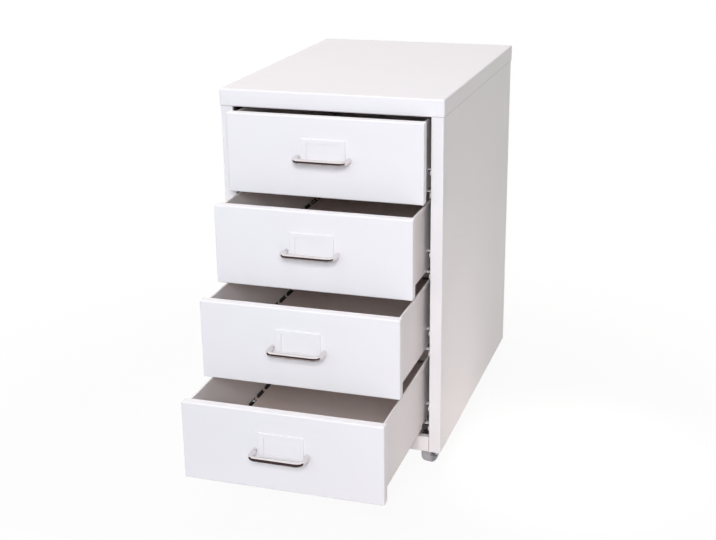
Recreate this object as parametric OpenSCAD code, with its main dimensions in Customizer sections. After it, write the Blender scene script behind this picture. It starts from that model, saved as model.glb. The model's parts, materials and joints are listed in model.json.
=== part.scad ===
// Small sheet-steel drawer cabinet on castors.
// X runs across the front, Y from front to back and Z up. The castors stand on z = 0.

/* [Carcass] */
// Width over the two side panels
body_w = 280; // [240:2:360]
// Depth from the front posts to the back edge of the side panels
body_d = 404; // [360:2:480]
// Thickness of the carcass and drawer sheet
sheet = 0.8; // [0.6:0.1:1.2]
// Inner radius of a fold
fold_r = 0.6; // [0.3:0.1:1.2]
// Width of the front post that is folded from each side panel
post_w = 15.3; // [13:0.1:22]
// Depth of the slotted lip behind each post
post_lip = 10.5; // [9:0.5:14]
// Width of the flanges along the back, top and bottom of a side panel
side_flange = 15; // [12:0.5:18]
// Height of the front rail below the lowest drawer
rail_h = 20.5; // [16:0.5:36]
// Depth of the lip along the top of the front rail
rail_lip = 8; // [5:0.5:11]

/* [Cap] */
// Height of the skirt round the cap
skirt_h = 21; // [16:0.5:32]
// Outer radius of the cap's folded edges
cap_edge_r = 1.8; // [1.4:0.1:3]

/* [Drawers] */
// Height of one drawer front
front_h = 98; // [92:1:140]
// Gap between a drawer front and the post at each side
side_gap = 1.7; // [1.2:0.1:2.5]
// Gap between two drawer fronts
front_gap = 4; // [2:0.5:8]
// Gap between the cap's skirt and the top drawer front
top_gap = 2.5; // [1:0.5:6]
// Gap between the lowest drawer front and the rail
bottom_gap = 6; // [2:0.5:12]
// Depth of the flanges down the sides of a drawer front
front_side_flange = 11; // [10:0.5:16]
// Depth of the flanges along the top and bottom of a drawer front
front_edge_flange = 11; // [8:0.5:16]
// Outer radius of a drawer front's folded edges
front_edge_r = 1.6; // [1.4:0.1:3]
// How far the tray's floor lies above the bottom edge of its front
tray_rise = 8; // [6:0.5:20]
// Gap between a tray's wall and the side flange of its front
tray_gap = 4.6; // [3.4:0.2:8]
// How far the tray's rim lies below the top of its front
rim_drop = 2.5; // [1.5:0.5:6]
// Width of the rolled rim round the tray
rim_w = 2.2; // [2:0.1:3.2]
// Depth of the rolled rim round the tray
rim_h = 5; // [3:0.5:8]
// Height of the tray's back wall
tray_back_h = 83; // [50:1:84]
// Free space between a closed tray and the back panel
tray_back_gap = 12; // [6:1:40]
// How far a drawer slides between shut and its stop
travel = 310; // [200:5:320]
// How far each drawer stands open, from the top one down
pulled_out = [25, 73, 127, 192]; // [0:1:200]

/* [Perforated folds] */
// Length of one slot
fold_slot = 20; // [12:1:24]
// Distance from one slot to the next
fold_pitch = 28; // [28:1:40]
// Width of a slot across the fold
fold_slot_w = 3; // [1.4:0.1:3.4]
// Where the slots start behind the drawer's face
fold_from = 185; // [40:5:240]

/* [Runners] */
// Height of the runner channel
runner_h = 28; // [22:0.5:34]
// Height of the hooks that hold a runner in the post's slots
hook_h = 4; // [3:0.5:8]
// How far the lower ledge reaches under the tray
ledge_under = 6; // [4:0.5:12]
// Height of the running gap under a tray and round its glides
running_gap = 0.3; // [0.2:0.1:0.6]
// Length of a rear glide
glide_l = 30; // [20:1:36]

/* [Label holder] */
// Width of the pressed frame
label_w = 55; // [44:1:56]
// Height of the pressed frame
label_h = 32; // [24:1:40]
// Width of the frame's border at the sides
label_side = 6.5; // [4:0.5:9]
// Width of the frame's border at the top and bottom
label_edge = 5; // [3:0.5:7]
// How far the frame stands out of the front
label_raise = 1.5; // [1.4:0.1:2.4]
// Distance from the top of the front down to the frame
label_drop = 26.5; // [18:0.5:36]

/* [Handles] */
// Distance between the two feet of a handle
handle_pitch = 64; // [64:1:128]
// Diameter of the handle's rod
handle_d = 6; // [5:0.2:8]
// Distance from the front to the centre of the handle's bar
handle_out = 22; // [18:1:32]
// Radius of the rod's bends, at its centre
handle_bend = 8; // [5:0.5:12]
// Diameter of the machine screws that hold a handle
handle_screw_d = 4; // [3:0.5:4]

/* [Castors] */
// Height from the floor to the underside of the base
castor_h = 36; // [34:1:60]
// Diameter of a wheel
wheel_d = 29; // [24:1:29]
// Width of a wheel
wheel_w = 13.6; // [10:0.2:18]
// Distance from the swivel axis back to the axle
castor_trail = 12; // [10:0.5:14]
// Distance from the cabinet's side to a swivel axis
castor_edge = 27; // [26:1:50]
// Distance from the cabinet's front or back to a swivel axis
castor_inset = 34; // [30:0.5:60]
// How far the castors stand turned from trailing straight back
castor_turn = -15; // [-180:5:180]
// Thickness of the fork's sheet
fork_t = 1.6; // [1:0.1:2]
// Diameter of the threaded stem
stem_d = 8; // [6:1:10]
// Diameter of the axle
axle_d = 5; // [4:0.5:6]

/* [Screws] */
// Diameter of the carcass screws
screw_d = 3.5; // [2.9:0.1:4.2]
// Length of the carcass screws
screw_l = 8; // [6:1:10]

/* [Hidden] */
drawers = len(pulled_out);
numbers = [for (k = [1:drawers]) k];
corners = [1, 2, 3, 4];
touch = 0.2;        // gap between sheets that lie against each other
bore_gap = 0.05;    // radial running clearance of a pin
eps = 0.01;

// Heights
base_z = castor_h;
total_h = castor_h + rail_h + bottom_gap + drawers * front_h + (drawers - 1) * front_gap + top_gap + skirt_h;
floor_top = base_z + sheet;
panel_top = total_h - sheet;
drawer_pitch = front_h + front_gap;
function drawer_top(k) = total_h - skirt_h - top_gap - (k - 1) * drawer_pitch;
function tray_bottom(k) = drawer_top(k) - front_h + tray_rise;

// Widths, measured from the middle
half_w = body_w / 2;
side_in = half_w - sheet;
post_in = half_w - post_w;
front_half = post_in - side_gap;
front_w = 2 * front_half;
tray_half = front_half - sheet - tray_gap;

// Depths, measured from the posts' front face
back_in = body_d - 2 * sheet;
tray_start = sheet + 2 * touch;
tray_end = back_in - tray_back_gap;
cap_lap = sheet + touch;
tray_h = front_h - tray_rise - rim_drop;

// The back panel lies between the side panels' rear folds
back_half_w = side_in - fold_r - touch;
back_flange = side_flange - 3;

// Runners and glides
stop_gap = 0.5;     // room left at each end of a drawer's travel
ledge_start = max(front_side_flange, post_lip) + stop_gap;
runner_start = 3;
runner_end = back_in - 12;
hook = [1.8, post_lip - 1.5];   // where the hooks start and end behind the posts' face
hook_reach = front_half + 0.4;
slot_gap = 0.2;
glide_start = post_lip + stop_gap + travel;
glide_h = runner_h - 2 * sheet - 2 * running_gap;
glide_wall = 2;
glide_r = 5;
peg_d = 6;
peg_head = 9;

// Screws
screw_head_d = 2 * screw_d;
screw_head_h = 2.2;
screw_hole = screw_d + 0.1;
screw_inset = side_flange / 2 + sheet;
back_screw_z = [for (f = [0.12, 0.5, 0.84]) floor_top + f * (panel_top - floor_top)];
base_screw_y = [for (f = [0.3, 0.7]) f * body_d];

// Castors, measured from the floor
castor_x = half_w - castor_edge;
wheel_r = wheel_d / 2;
crown_top = castor_h - 2.8;
crown_bottom = crown_top - fork_t;
fork_half = wheel_w / 2 + 0.5 + fork_t;
pin_d = stem_d * 0.75;
pin_head_h = 1.6;
stem_up = 12;
nut_h = 6.5;
nut_af = 13;
arm_r = axle_d / 2 + 4;

// The cabinet's place along Y puts the middle of the whole part, drawers out, on the origin
handle_reach = handle_out + handle_d / 2;
front_y = (max(pulled_out) + handle_reach - body_d - cap_lap - screw_head_h) / 2;

white = [0.95, 0.945, 0.96];
chrome = [0.78, 0.78, 0.8];
zinc = [0.7, 0.71, 0.72];
nylon = [0.9, 0.9, 0.88];
dark = [0.3, 0.3, 0.32];
grey = [0.62, 0.62, 0.65];

function numbered(name, list) = [for (k = list) str(name, k)];

// ---- Folded sheet ----

function unit(v) = v / norm(v);
function left_of(v) = [-v[1], v[0]];
function turned(v, a) = [v[0] * cos(a) - v[1] * sin(a), v[0] * sin(a) + v[1] * cos(a)];
function reversed(list) = [for (i = [len(list) - 1:-1:0]) list[i]];

// The corner at b of the line a, b, c, rounded to radius r
function rounded_corner(a, b, c, r, steps = 4) =
    let (u = unit(b - a), v = unit(c - b), side = sign(cross(u, v)), angle = acos(u * v))
    let (centre = b - r * tan(angle / 2) * u + side * r * left_of(u))
    [for (i = [0:steps]) centre + turned(-side * r * left_of(u), side * angle * i / steps)];

// The line moved sideways by d to its left
function shifted(path, d) = let (last = len(path) - 1) [for (i = [0:last])
    let (u = unit(path[max(i, 1)] - path[max(i, 1) - 1]), v = unit(path[min(i, last - 1) + 1] - path[min(i, last - 1)]))
    path[i] + d * (left_of(u) + left_of(v)) / (1 + u * v)];

// One face of a folded strip, its inner bends at radius r and its outer bends a sheet larger
function bent_face(path, t, r, is_left) = [for (i = [0:len(path) - 1])
    if (i == 0 || i == len(path) - 1) [path[i]]
    else let (inside = (cross(path[i] - path[i - 1], path[i + 1] - path[i]) > 0) == is_left)
        rounded_corner(path[i - 1], path[i], path[i + 1], inside ? r : r + t)];
function joined(lists) = [for (list = lists) for (item = list) item];

// Outline of a strip of thickness t that lies along the left of the path
function folded(path, t = sheet, r = fold_r) = concat(
    joined(bent_face(path, t, r, false)), reversed(joined(bent_face(shifted(path, t), t, r, true))));

// Extrudes an X-Z outline along Y, from y0 to y1
module along_y(y0, y1) translate([0, y1, 0]) rotate([90, 0, 0]) linear_extrude(y1 - y0) children();
// Extrudes a Y-Z outline along X, from x0 to x1
module along_x(x0, x1) translate([x0, 0, 0]) rotate([90, 0, 90]) linear_extrude(x1 - x0) children();
// Extrudes an X-Y outline along Z, from z0 to z1
module along_z(z0, z1) translate([0, 0, z0]) linear_extrude(z1 - z0) children();

function round_rect(w, h, r) = let (p = [[0, 0], [w, 0], [w, h], [0, h]])
    joined([for (i = [0:3]) rounded_corner(p[(i + 3) % 4], p[i], p[(i + 1) % 4], r)]);

// A block from the origin whose edges are rounded to radius r
module soft_block(size, r) intersection() {
    along_z(0, size[2]) polygon(round_rect(size[0], size[1], r));
    along_y(0, size[1]) polygon(round_rect(size[0], size[2], r));
    along_x(0, size[0]) polygon(round_rect(size[1], size[2], r));
}

// A folded pan of outer size w, depth and h. Its face is at y = 0 and it is open to the back.
module pan(w, depth, h, r) difference() {
    intersection() {
        soft_block([w, depth + 2 * r, h], r);
        cube([w, depth, h]);
    }
    translate([sheet, sheet, sheet])
        soft_block([w - 2 * sheet, depth + 4 * r, h - 2 * sheet], r - sheet);
}

// ---- Places ----

// Puts carcass pieces where the cabinet stands
module in_cabinet() translate([0, front_y, 0]) children();
// Puts a piece of drawer k where that drawer stands; y = 0 is the face of its front
module in_drawer(k) in_cabinet() translate([0, -pulled_out[k - 1], 0]) children();
module both_sides() for (m = [0, 1]) mirror([m, 0, 0]) children();
// Castor k: 1 and 2 at the front, 3 and 4 at the back, the odd ones on the left
function castor_side(k) = k % 2 == 1 ? -1 : 1;
function castor_y(k) = k < 3 ? castor_inset : body_d - castor_inset;
module at_castor(k) in_cabinet() translate([castor_side(k) * castor_x, castor_y(k), 0])
    rotate(castor_turn) children();

// A pan-head screw that is driven along +Z, its head's seat at z = 0
module screw(d, length, head_d, head_h) {
    cylinder(d = d, h = length, $fn = 32);
    translate([0, 0, -head_h]) difference() {
        union() {
            translate([0, 0, head_h * 0.4]) cylinder(d = head_d, h = head_h * 0.6, $fn = 32);
            cylinder(d1 = head_d * 0.72, d2 = head_d, h = head_h * 0.4, $fn = 32);
        }
        for (a = [0, 90]) rotate(a) translate([-head_d / 4, -0.4, -eps]) cube([head_d / 2, 0.8, head_h * 0.5]);
    }
}
// A carcass screw driven towards the front through the back
module back_screw_at(x, y, z) translate([x, y, z]) rotate([90, 0, 0])
    screw(screw_d, screw_l, screw_head_d, screw_head_h);
module hole_y(x, y0, y1, z, d) translate([x, y1, z]) rotate([90, 0, 0]) cylinder(d = d, h = y1 - y0, $fn = 32);
module hole_z(x, y, z0, z1, d) translate([x, y, z0]) cylinder(d = d, h = z1 - z0, $fn = 32);

// ---- Carcass ----

cap_screw_z = total_h - skirt_h / 2;
back_screw_x = half_w - screw_inset;

module cap() color(white) in_cabinet() difference() {
    translate([-half_w - cap_lap, -cap_lap, total_h]) rotate([-90, 0, 0])
        pan(body_w + 2 * cap_lap, skirt_h, body_d + 2 * cap_lap, cap_edge_r);
    both_sides() hole_y(back_screw_x, body_d, body_d + 2 * cap_lap, cap_screw_z, screw_hole);
}

// A side panel's sheet: web, front post with its slotted lip, and flanges at the back, top and bottom
module side_sheet() difference() {
    union() {
        along_z(floor_top, panel_top) polygon(folded([
            [post_in, post_lip], [post_in, 0], [half_w, 0], [half_w, body_d], [half_w - side_flange, body_d]]));
        for (z = [floor_top, panel_top - sheet])
            translate([half_w - side_flange, 2 * sheet + 1, z])
                cube([side_flange - sheet / 2, back_in - 2 * sheet - 2, sheet]);
    }
    // the hooks go in above their tongues and drop
    for (k = numbers, z = ledge_heights(k))
        translate([post_in - 1, hook[0] - slot_gap, z - slot_gap])
            cube([sheet + 2, hook[1] - hook[0] + 2 * slot_gap, sheet + hook_h + 2 * slot_gap]);
    for (z = concat(back_screw_z, cap_screw_z))
        hole_y(back_screw_x, body_d - 2 * sheet, body_d + 1, z, screw_hole);
    for (y = base_screw_y)
        hole_z(back_screw_x, y, floor_top - 1, floor_top + 2, screw_hole);
}
// Room under the cap, whose folds the panels' top edges are rounded to clear
module under_cap() intersection() {
    along_y(0, body_d) translate([-half_w, 0]) polygon(round_rect(body_w, panel_top, sheet + fold_r));
    along_x(-half_w, half_w) polygon(round_rect(body_d, panel_top, sheet + fold_r));
}
module side_panel() intersection() {
    side_sheet();
    under_cap();
}
module side_right() color(white) in_cabinet() side_panel();
module side_left() color(white) in_cabinet() mirror([1, 0, 0]) side_panel();

module back_panel() color(white) in_cabinet() difference() {
    along_x(-back_half_w, back_half_w) polygon(folded([
        [back_in - back_flange, floor_top], [back_in + sheet, floor_top],
        [back_in + sheet, panel_top], [back_in - back_flange, panel_top]]));
    // the flanges stop short of the side panels' own
    both_sides() translate([half_w - side_flange - touch - 0.5, back_in - back_flange - 1, floor_top - 1])
        cube([side_flange, back_flange + 1, panel_top - floor_top + 2]);
    for (z = concat(back_screw_z, cap_screw_z))
        both_sides() hole_y(back_screw_x, back_in - 1, back_in + 2, z, screw_hole);
}

// Floor of the carcass with the front rail folded up from it, between the posts
module base_panel() color(white) in_cabinet() difference() {
    union() {
        along_x(-post_in + 0.1, post_in - 0.1) polygon(folded([
            [rail_lip, base_z + rail_h], [0, base_z + rail_h], [0, base_z], [body_d, base_z]]));
        translate([-half_w, 0, base_z]) intersection() {
            cube([body_w, body_d, sheet]);
            translate([0, 0, -1]) union() {
                cube([post_w - 0.05, body_d, 3]);
                translate([body_w - post_w + 0.05, 0, 0]) cube([post_w, body_d, 3]);
                translate([0, 3, 0]) cube([body_w, body_d, 3]);
            }
        }
    }
    for (k = corners)
        hole_z(castor_side(k) * castor_x, castor_y(k), base_z - 1, base_z + 2, stem_d + 0.4);
    both_sides() for (y = base_screw_y)
        hole_z(back_screw_x, y, base_z - 1, base_z + 2, screw_hole);
}

module back_screws() color(zinc) in_cabinet() both_sides() for (z = back_screw_z)
    back_screw_at(back_screw_x, body_d, z);
module cap_screws() color(zinc) in_cabinet() both_sides()
    back_screw_at(back_screw_x, body_d + cap_lap, cap_screw_z);
module base_screws() color(zinc) in_cabinet() both_sides() for (y = base_screw_y)
    translate([back_screw_x, y, base_z]) screw(screw_d, screw_l, screw_head_d, screw_head_h);

// ---- Runners ----

// The undersides of runner k's lower and upper ledges
function ledge_heights(k) = let (low = tray_bottom(k) - running_gap - sheet) [low, low + runner_h - sheet];

// The right runner of drawer k: a channel whose two ledges end in hooks in the post's slotted lip
module runner(k) {
    low = ledge_heights(k)[0];
    difference() {
        along_y(runner_start, runner_end) polygon(folded([
            [tray_half - ledge_under, low], [side_in, low],
            [side_in, low + runner_h], [tray_half + 0.5, low + runner_h]]));
        translate([tray_half - ledge_under - 1, runner_start - 1, low - 1])
            cube([post_in + 2 * sheet - tray_half + ledge_under + 1, ledge_start - runner_start + 1, runner_h + 2]);
    }
    for (z = ledge_heights(k)) {
        translate([hook_reach, hook[0], z]) cube([post_in + 3 * sheet - hook_reach, hook[1] - hook[0], sheet]);
        translate([hook_reach, hook[0], z - hook_h]) cube([sheet, hook[1] - hook[0], hook_h + sheet]);
    }
}
module runner_right(k) color(white) in_cabinet() runner(k);
module runner_left(k) color(white) in_cabinet() mirror([1, 0, 0]) runner(k);

// ---- Drawers ----

label_x = label_w / 2;
handle_z = front_h / 2;

// The pressed frame round the label: four raised strips with a card pocket behind them
module label_frame() translate([-label_x, -label_raise, front_h - label_drop - label_h]) difference() {
    intersection() {
        soft_block([label_w, 2 * label_raise, label_h], sheet / 2);
        cube([label_w, label_raise + sheet / 2, label_h]);
    }
    translate([label_side, -1, label_edge])
        cube([label_w - 2 * label_side, label_raise + 1, label_h - 2 * label_edge]);
    translate([-1, sheet - 0.1, sheet])
        cube([label_w + 1 - sheet, label_raise - sheet + 0.1, label_h - 2 * sheet]);
}

module drawer_front(k) color(white) in_drawer(k) translate([0, 0, drawer_top(k) - front_h]) {
    difference() {
        translate([-front_half, 0, 0]) pan(front_w, front_side_flange, front_h, front_edge_r);
        translate([-front_half + 4, front_edge_flange, -1])
            cube([front_w - 8, front_side_flange, front_h + 2]);
        both_sides() hole_y(handle_pitch / 2, -1, 2, handle_z, handle_screw_d + 0.4);
    }
    label_frame();
}

slots_along = floor((tray_end - fold_from - 2) / fold_pitch);
slots_across = floor((2 * tray_half - 30) / fold_pitch);
rim_r = 0.2;
rim_x = tray_half + rim_w - 2 * sheet;
back_half = tray_half - sheet - 2 * touch;

// Floor and side walls folded from one sheet, their rims rolled outwards, and the back folded up between them
module drawer_tray(k) color(white) in_drawer(k) translate([0, 0, tray_bottom(k)]) difference() {
    union() {
        difference() {
            along_y(tray_start, tray_end) polygon(folded([
                [-rim_x, tray_h - rim_h], [-rim_x, tray_h - sheet],
                [-tray_half, tray_h - sheet], [-tray_half, 0], [tray_half, 0], [tray_half, tray_h - sheet],
                [rim_x, tray_h - sheet], [rim_x, tray_h - rim_h]], sheet, rim_r));
            translate([-back_half, tray_end - sheet - 2, -1]) cube([2 * back_half, sheet + 3, sheet + 2]);
        }
        // back wall with its rim rolled forwards
        along_x(-back_half, back_half) polygon(folded([
            [tray_end - 10, 0], [tray_end - sheet, 0], [tray_end - sheet, tray_back_h],
            [tray_end - sheet - rim_w, tray_back_h], [tray_end - sheet - rim_w, tray_back_h - rim_h]], sheet, rim_r));
        // tabs turned in from the side walls behind the back wall
        both_sides() translate([tray_half - 14, tray_end - sheet, 3]) cube([13.6, sheet, tray_back_h - 10]);
        // flange turned down behind the front
        along_x(-tray_half + 12, tray_half - 12) polygon(folded([
            [sheet + 6, sheet], [sheet, sheet], [sheet, 2 - tray_rise]], sheet, rim_r));
    }
    both_sides() for (i = [0:slots_along - 1])
        translate([tray_half - fold_slot_w, fold_from + i * fold_pitch, -1])
            cube([fold_slot_w + 1, fold_slot, 1 + fold_slot_w]);
    for (i = [0:slots_across - 1])
        translate([(i - (slots_across - 1) / 2) * fold_pitch - fold_slot / 2, tray_end - sheet - fold_slot_w, -1])
            cube([fold_slot, fold_slot_w + sheet + 1, 1 + fold_slot_w]);
    both_sides() translate([0, glide_start + glide_l / 2, glide_h / 2]) rotate([0, 90, 0])
        cylinder(d = peg_d + 0.1, h = tray_half + 1, $fn = 32);
}

// A nylon glide on each rear side of the tray runs between the ledges and stops at the post's lip
module glide() difference() {
    union() {
        along_x(tray_half, side_in - sheet - 0.4)
            translate([glide_start, 0]) polygon(round_rect(glide_l, glide_h, glide_r));
        translate([tray_half - sheet - 1, glide_start + glide_l / 2, glide_h / 2]) rotate([0, 90, 0]) {
            cylinder(d = peg_d, h = sheet + 2, $fn = 32);
            cylinder(d = peg_head, h = 1, $fn = 32);
        }
    }
    along_x(tray_half + 3, side_in) translate([glide_start + glide_wall, glide_wall])
        polygon(round_rect(glide_l - 2 * glide_wall, glide_h - 2 * glide_wall, glide_r - glide_wall));
}
module glides(k) color(nylon) in_drawer(k) translate([0, 0, tray_bottom(k)]) both_sides() glide();

// Bent rod with a tapped hole in each foot
handle_leg = handle_out - handle_bend;
handle_hole = handle_leg - 2;
module handle(k) color(chrome) in_drawer(k) translate([0, 0, drawer_top(k) - front_h + handle_z]) {
    both_sides() {
        difference() {
            translate([handle_pitch / 2, 0, 0]) rotate([90, 0, 0]) cylinder(d = handle_d, h = handle_leg, $fn = 48);
            hole_y(handle_pitch / 2, -handle_hole, 1, 0, handle_screw_d + 2 * bore_gap);
        }
        translate([handle_pitch / 2 - handle_bend, -handle_leg, 0]) rotate([0, 0, -90])
            rotate_extrude(angle = 90, $fn = 64) translate([handle_bend, 0]) circle(d = handle_d, $fn = 48);
    }
    translate([-handle_pitch / 2 + handle_bend, -handle_out, 0]) rotate([0, 90, 0])
        cylinder(d = handle_d, h = handle_pitch - 2 * handle_bend, $fn = 48);
}

module handle_screws(k) color(zinc) in_drawer(k) translate([0, sheet, drawer_top(k) - front_h + handle_z])
    both_sides() translate([handle_pitch / 2, 0, 0]) rotate([90, 0, 0])
        screw(handle_screw_d, handle_hole - 1, 2 * handle_screw_d, 2.4);

// ---- Castors ----

// Threaded stem with a flange under the base and a riveted pin that the fork turns on
module castor_stem(k) color(zinc) at_castor(k) {
    translate([0, 0, crown_top + 0.3]) cylinder(d = 2 * stem_d, h = castor_h - crown_top - 0.3, $fn = 48);
    translate([0, 0, castor_h - 1]) cylinder(d = stem_d, h = stem_up + 1, $fn = 48);
    translate([0, 0, crown_bottom - 0.3 - pin_head_h]) {
        cylinder(d = pin_d, h = castor_h - crown_bottom + pin_head_h, $fn = 48);
        cylinder(d = pin_d + 3, h = pin_head_h, $fn = 48);
    }
}
module castor_nuts() color(zinc) for (k = corners) at_castor(k) translate([0, 0, floor_top]) difference() {
    cylinder(d = nut_af / cos(30), h = nut_h, $fn = 6);
    translate([0, 0, -1]) cylinder(d = stem_d + 2 * bore_gap, h = nut_h + 2, $fn = 48);
}

hub = [castor_trail, wheel_r];
arm_front = [-fork_half, crown_bottom - 1];
arm_back = [castor_trail + arm_r - 1, crown_top];
// Where a line from p touches the round end of a fork arm, on the given side
function tangent_point(p, side) = let (d = norm(p - hub))
    hub + arm_r * turned((p - hub) / d, side * acos(arm_r / d));

// Bent fork: a crown over the wheel and an arm down each side to the axle
module castor_fork(k) color(dark) at_castor(k) difference() {
    intersection() {
        along_y(-2 * stem_d, castor_trail + arm_r) polygon(folded([
            [fork_half, 0], [fork_half, crown_top], [-fork_half, crown_top], [-fork_half, 0]], fork_t, 1));
        along_x(-fork_half, fork_half) {
            translate(hub) circle(r = arm_r, $fn = 48);
            polygon([[-fork_half, crown_top], arm_front, tangent_point(arm_front, 1), hub,
                tangent_point(arm_back, -1), arm_back]);
        }
        along_z(0, crown_top) {
            circle(r = fork_half, $fn = 64);
            translate([-fork_half, 0]) square([2 * fork_half, castor_trail + arm_r]);
        }
    }
    translate([0, 0, crown_bottom - 1]) cylinder(d = pin_d + 2 * bore_gap, h = fork_t + 2, $fn = 48);
    translate([-fork_half - 1, castor_trail, wheel_r]) rotate([0, 90, 0])
        cylinder(d = axle_d + 2 * bore_gap, h = 2 * fork_half + 2, $fn = 48);
}

// Solid nylon wheel with rounded shoulders, dished sides and a hub
module castor_wheel(k) color(grey) at_castor(k) translate([0, castor_trail, wheel_r]) rotate([0, 90, 0])
    rotate_extrude($fn = 96) difference() {
        translate([0, -wheel_w / 2]) polygon(concat([[0, 0]],
            rounded_corner([0, 0], [wheel_r, 0], [wheel_r, wheel_w], 2.5, 6),
            rounded_corner([wheel_r, 0], [wheel_r, wheel_w], [0, wheel_w], 2.5, 6), [[0, wheel_w]]));
        translate([0, -wheel_w]) square([axle_d / 2 + bore_gap, 2 * wheel_w]);
        for (m = [0, 1]) mirror([0, m]) translate([axle_d / 2 + 2.2, wheel_w / 2 - 2])
            square([wheel_r - axle_d / 2 - 5.4, 3]);
    }

module castor_axle(k) color(zinc) at_castor(k) translate([0, castor_trail, wheel_r]) rotate([0, 90, 0]) {
    cylinder(d = axle_d, h = 2 * fork_half + 1, center = true, $fn = 48);
    both_ends() translate([0, 0, fork_half]) cylinder(d = axle_d + 2.4, h = 1, $fn = 48);
}
module both_ends() for (m = [0, 1]) mirror([0, 0, m]) children();

// ---- The nodes ----

cap();
side_left();
side_right();
back_panel();
base_panel();
back_screws();
base_screws();
cap_screws();
castor_nuts();
for (k = numbers) {
    runner_left(k);
    runner_right(k);
    drawer_front(k);
    drawer_tray(k);
    glides(k);
    handle(k);
    handle_screws(k);
}
for (k = corners) {
    castor_stem(k);
    castor_fork(k);
    castor_wheel(k);
    castor_axle(k);
}
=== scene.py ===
"""Dresses the folded-sheet drawer cabinet: its coats and platings, the rod handles, the castor
wheels and the screws."""

import json
import math

import bmesh
import bpy
from mathutils import Matrix, Vector


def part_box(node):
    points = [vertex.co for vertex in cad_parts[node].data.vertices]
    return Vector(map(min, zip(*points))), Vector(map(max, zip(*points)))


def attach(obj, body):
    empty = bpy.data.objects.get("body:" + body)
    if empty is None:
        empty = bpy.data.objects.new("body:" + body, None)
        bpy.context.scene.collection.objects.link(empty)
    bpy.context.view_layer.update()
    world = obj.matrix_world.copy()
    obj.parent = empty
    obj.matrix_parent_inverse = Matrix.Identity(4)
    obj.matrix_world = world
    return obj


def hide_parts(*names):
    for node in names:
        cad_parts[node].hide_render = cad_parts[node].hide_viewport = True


bl_info = {
    "name": "Drawer Cabinet Dressing",
    "version": (1, 0, 0),
    "blender": (4, 5, 0),
    "location": "3D View > Sidebar > Cabinet",
    "description": "Coats, platings, handles, castor wheels and screws for a steel drawer cabinet",
    "category": "Object",
}

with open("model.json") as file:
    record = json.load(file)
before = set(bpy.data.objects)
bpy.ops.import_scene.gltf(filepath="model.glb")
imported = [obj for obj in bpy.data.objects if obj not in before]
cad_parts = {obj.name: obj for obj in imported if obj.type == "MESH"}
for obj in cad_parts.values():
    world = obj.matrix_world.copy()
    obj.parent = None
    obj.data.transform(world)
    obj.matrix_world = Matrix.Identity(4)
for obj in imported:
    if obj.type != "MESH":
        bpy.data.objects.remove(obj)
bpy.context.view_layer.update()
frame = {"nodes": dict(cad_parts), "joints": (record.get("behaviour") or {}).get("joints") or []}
DRAWERS = (1, 2, 3, 4)
CORNERS = (1, 2, 3, 4)
MM = 0.001

# Colours that a finish drifts to, picks up or shows where it is worn, and colours of painted shade
RUBBED = (0.5, 0.49, 0.48)
# painted shade under the cap's skirt
HEM_SHADE = (0.5, 0.4, 0.4)
# painted shade inside the carcass
INSIDE_SHADE = ((0.17, 0.145, 0.13), (0.13, 0.11, 0.1))
# painted shade on the runners inside the carcass
RUNNER_SHADE = ((0.075, 0.066, 0.058), (0.04, 0.036, 0.032))
# painted shade on the trays' floors
FLOOR_SHADE_DRIFT = (0.88, 0.755, 0.69)
# painted shade round the trays' slots
SLOT_SHADE = (0.03, 0.027, 0.024)
FINGER_MARK = (0.77, 0.725, 0.72)
DULL_ZINC = (0.5, 0.5, 0.5)
FORK_CLOUD = (0.13, 0.127, 0.13)
FORK_RUB = (0.42, 0.42, 0.43)
WHEEL_CLOUD = (0.42, 0.415, 0.435)
GLIDE_CLOUD = (0.74, 0.735, 0.69)

# Colours of the stage
FLOOR_PAPER = ((0.93, 0.85, 0.83), (0.915, 0.835, 0.81))
FLAG = (0.075, 0.05, 0.048)
FELT = (0.3, 0.3, 0.3)
SKY = (0.98, 0.985, 1.0)
WHITE = (1.0, 1.0, 1.0)

SLOT_SHADE_SPREAD = 0.8 * MM  # how far the painted shade round a tray's slots spreads
SLOT_SHADE_RISE = 1.0 * MM  # how much further it climbs up the tray's wall
FORWARD, UPWARD = (0, -1, 0), (0, 0, 1)  # which way a screw points
CARCASS_HEAD, MACHINE_HEAD = 2.2 * MM, 2.4 * MM  # heights of the screws' heads
PAN_HEAD = (  # a head's profile, as parts of its diameter and its height
    (0.0, 1.0), (0.2, 0.99), (0.34, 0.86), (0.44, 0.62), (0.49, 0.32), (0.5, 0.1), (0.49, 0.0),
)
DIAGONAL = 1.414  # a square's diagonal over its side


def joint(name):
    """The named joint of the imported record."""
    return next(j for j in frame["joints"] if j["name"] == name)


HANDLE_LOW, HANDLE_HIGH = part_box("handle_1")
ROD = HANDLE_HIGH.z - HANDLE_LOW.z


# ---- Sizes and colours that can be changed ----


def amount(name, text, default, **limits):
    """A number that can be changed, from 0 up."""
    return bpy.props.FloatProperty(
        name=name, description=text, default=default, min=0.0, **limits
    )


def length(name, text, default):
    return amount(name, text, default, unit="LENGTH", precision=5)


def share(name, text, default):
    return amount(name, text, default, max=1.0, subtype="FACTOR")


def power(name, text, default):
    return amount(name, text, default, unit="POWER")


def colour(name, text, default):
    return bpy.props.FloatVectorProperty(
        name=name, description=text, default=default, size=3, min=0.0, max=1.0, subtype="COLOR"
    )


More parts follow.
